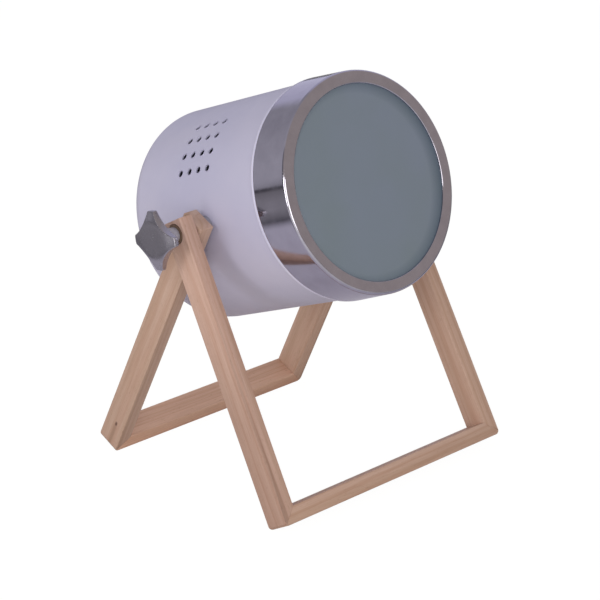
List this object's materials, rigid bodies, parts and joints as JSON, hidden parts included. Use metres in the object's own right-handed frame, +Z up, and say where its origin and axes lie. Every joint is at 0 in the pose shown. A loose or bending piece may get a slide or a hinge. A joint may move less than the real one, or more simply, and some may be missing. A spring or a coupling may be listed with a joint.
{
  "type": "tabletop searchlight lamp",
  "caption": "Drum-shaped table lamp with bright bezel and frosted glass, tilting between two folding wooden frames clamped by star knobs.",
  "frame": {"origin": "centre of the lamp's footprint box, on the surface that it stands on", "axes": "+Z up, the head looks towards -Y, +X to the right when looking along +Y, the pivot axis runs along X"},
  "size_m": [0.2594, 0.2239, 0.3037],
  "materials": {
    "white_enamel": "satin",
    "chrome_plate": "polished",
    "frosted_glass": "frosted",
    "black_rubber": "matte",
    "zinc_steel": "zinc plated",
    "grey_nylon": "moulded",
    "brass": "bright",
    "white_phenolic": "moulded",
    "bulb_metal": "bright",
    "opal_glass": "frosted",
    "lead_sleeve": "smooth",
    "silver_grey": "half-gloss metallic grey",
    "brown_fibre": "matte",
    "beech": "bare, fine sanded"
  },
  "bodies": {
    "stand_front": {"front_leg_left": "beech", "front_leg_right": "beech", "front_crossbar": "beech", "front_dowels": "beech", "leg_washer_left": "brown_fibre", "leg_washer_right": "brown_fibre"},
    "stand_rear": {"rear_leg_left": "beech", "rear_leg_right": "beech", "rear_crossbar": "beech", "rear_dowels": "beech"},
    "head": {"drum_shell": "white_enamel", "bezel_ring": "chrome_plate", "neck_band": "black_rubber", "lens_glass": "frosted_glass", "lens_gasket": "black_rubber", "lens_wire": "zinc_steel", "pivot_insert_left": "zinc_steel", "pivot_insert_right": "zinc_steel", "pivot_spacer_left": "black_rubber", "pivot_spacer_right": "black_rubber", "holder_bracket": "zinc_steel", "bracket_screws": "zinc_steel", "holder_nipple": "brass", "nipple_nut": "brass", "lampholder": "white_phenolic", "lampholder_shell": "brass", "lampholder_contact": "brass", "bulb_cap": "bulb_metal", "bulb_globe": "opal_glass", "cord_gland": "grey_nylon", "gland_nut": "grey_nylon", "terminal_block": "white_phenolic", "terminal_screws": "brass", "holder_leads": "lead_sleeve"},
    "left_knob": {"knob_left": "silver_grey", "knob_stud_left": "zinc_steel", "knob_washer_left": "brown_fibre"},
    "right_knob": {"knob_right": "silver_grey", "knob_stud_right": "zinc_steel", "knob_washer_right": "brown_fibre"}
  },
  "joints": [
    {"name": "stand_fold", "type": "hinge", "parent": "stand_front", "child": "stand_rear", "pos_m": [0, 0.00188, 0.19731], "axis": [-1, 0, 0], "range_deg": [-12, 49.5]},
    {"name": "head_tilt", "type": "hinge", "parent": "stand_front", "child": "head", "pos_m": [0, 0.00188, 0.19731], "axis": [-1, 0, 0], "range_deg": [-110, 70]},
    {"name": "left_knob_turn", "type": "hinge", "parent": "head", "child": "left_knob", "pos_m": [-0.115, 0.00188, 0.19731], "axis": [-1, 0, 0], "continuous": true},
    {"name": "right_knob_turn", "type": "hinge", "parent": "head", "child": "right_knob", "pos_m": [0.115, 0.00188, 0.19731], "axis": [1, 0, 0], "continuous": true}
  ]
}
